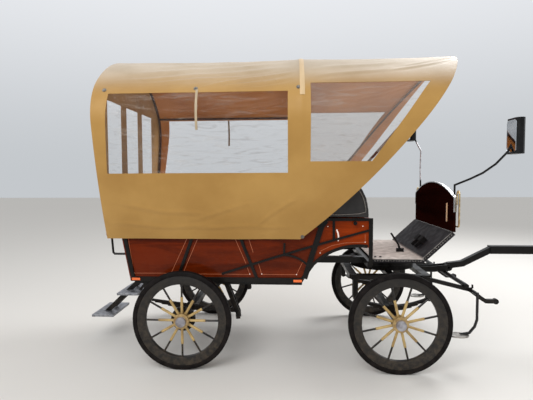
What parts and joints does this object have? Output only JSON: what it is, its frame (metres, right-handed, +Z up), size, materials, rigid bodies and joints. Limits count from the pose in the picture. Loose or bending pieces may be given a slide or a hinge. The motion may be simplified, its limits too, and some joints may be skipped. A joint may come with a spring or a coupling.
{
  "type": "horse drawn carriage",
  "caption": "Four-wheeled wagonette with a turning forecarriage, a pole for a pair, a varnished open body with side benches and a tarpaulin canopy on bent hoops.",
  "frame": {"origin": "on the ground under the middle of the whole length, pole included, on the centre plane", "axes": "+X forward along the pole, +Y to the carriage's left, +Z up"},
  "size_m": [6, 1.7958, 2.766],
  "materials": {
    "tyre": "matt black solid rubber",
    "wheel_paint": "gloss black with cream spoke roots",
    "hub_metal": "cream paint with a bright steel cap",
    "black_steel": "satin black paint",
    "pole_iron_black": "satin black paint",
    "pole_wood": "dark painted wood",
    "tip_steel": "worn bright steel",
    "floor_wood": "plain boards",
    "varnished_wood": "deep red-brown varnish with pale pinstripes",
    "frame_black": "gloss black paint",
    "leather": "black with light piping",
    "tread_plate": "chequer plate",
    "dash_wood": "dark brown varnish",
    "polished_steel": "bright edge trim",
    "brass": "polished",
    "mirror_black": "black housing and tube",
    "pedal_steel": "steel with rubber pad",
    "lamp_red": "dark red lens",
    "reflector_amber": "amber lens",
    "bow_steel": "brown paint",
    "tarpaulin": "tan coated fabric, semi-gloss",
    "clear_film": "clear flexible film"
  },
  "bodies": {
    "carriage": {"arch_board": "varnished_wood", "axle_rear": "black_steel", "bench_backs": "leather", "bench_cushions": "leather", "benches": "floor_wood", "brake_lever": "black_steel", "canopy_bow": "bow_steel", "canopy_hoops": "bow_steel", "canopy_rails": "bow_steel", "canopy_roof": "tarpaulin", "canopy_side_left": "tarpaulin", "canopy_side_right": "tarpaulin", "chassis": "black_steel", "dash": "dash_wood", "dash_trim": "polished_steel", "driver_back": "leather", "driver_cushion": "leather", "floor": "floor_wood", "footboard": "tread_plate", "front_members": "black_steel", "grab_handles": "black_steel", "mirrors": "mirror_black", "pedals": "pedal_steel", "rear_curtain": "tarpaulin", "rear_lamps": "lamp_red", "rear_steps": "tread_plate", "rear_wall": "varnished_wood", "rear_windows": "clear_film", "rein_rails": "brass", "seat_box": "varnished_wood", "side_frame_left": "frame_black", "side_frame_right": "frame_black", "side_panel_left": "varnished_wood", "side_panel_right": "varnished_wood", "side_reflectors": "reflector_amber", "side_windows": "clear_film", "springs_rear": "black_steel", "step_stringers": "black_steel", "turntable": "black_steel"},
    "forecarriage": {"fore_frame": "black_steel", "axle_front": "black_steel", "springs_front": "black_steel", "driver_steps": "black_steel"},
    "pole_body": {"pole_iron": "pole_iron_black", "pole": "pole_wood", "pole_ferrule": "tip_steel"},
    "rear_door_body": {"rear_door": "varnished_wood"},
    "wheel_body_rear_right": {"tyre_rear_right": "tyre", "wheel_rear_right": "wheel_paint", "hub_rear_right": "hub_metal"},
    "wheel_body_rear_left": {"tyre_rear_left": "tyre", "wheel_rear_left": "wheel_paint", "hub_rear_left": "hub_metal"},
    "wheel_body_front_right": {"tyre_front_right": "tyre", "wheel_front_right": "wheel_paint", "hub_front_right": "hub_metal"},
    "wheel_body_front_left": {"tyre_front_left": "tyre", "wheel_front_left": "wheel_paint", "hub_front_left": "hub_metal"}
  },
  "joints": [
    {"name": "steer", "type": "hinge", "parent": "carriage", "child": "forecarriage", "pos_m": [-0.106, 0, 0.8], "axis": [0, 0, 1], "range_deg": [-42, 42]},
    {"name": "pole_lift", "type": "hinge", "parent": "forecarriage", "child": "pole_body", "pos_m": [0.538, 0, 0.75], "axis": [0, -1, 0], "range_deg": [0, 25]},
    {"name": "rear_door_hinge", "type": "hinge", "parent": "carriage", "child": "rear_door_body", "pos_m": [-2.44375, 0.247, 0.72338], "axis": [0.1874, 0, -0.9823], "range_deg": [0, 105]},
    {"name": "wheel_rear_right_spin", "type": "hinge", "parent": "carriage", "child": "wheel_body_rear_right", "pos_m": [-1.94, -0.75, 0.425], "axis": [0, 1, 0], "continuous": true},
    {"name": "wheel_rear_left_spin", "type": "hinge", "parent": "carriage", "child": "wheel_body_rear_left", "pos_m": [-1.94, 0.75, 0.425], "axis": [0, 1, 0], "continuous": true},
    {"name": "wheel_front_right_spin", "type": "hinge", "parent": "forecarriage", "child": "wheel_body_front_right", "pos_m": [-0.106, -0.75, 0.425], "axis": [0, 1, 0], "continuous": true},
    {"name": "wheel_front_left_spin", "type": "hinge", "parent": "forecarriage", "child": "wheel_body_front_left", "pos_m": [-0.106, 0.75, 0.425], "axis": [0, 1, 0], "continuous": true}
  ]
}
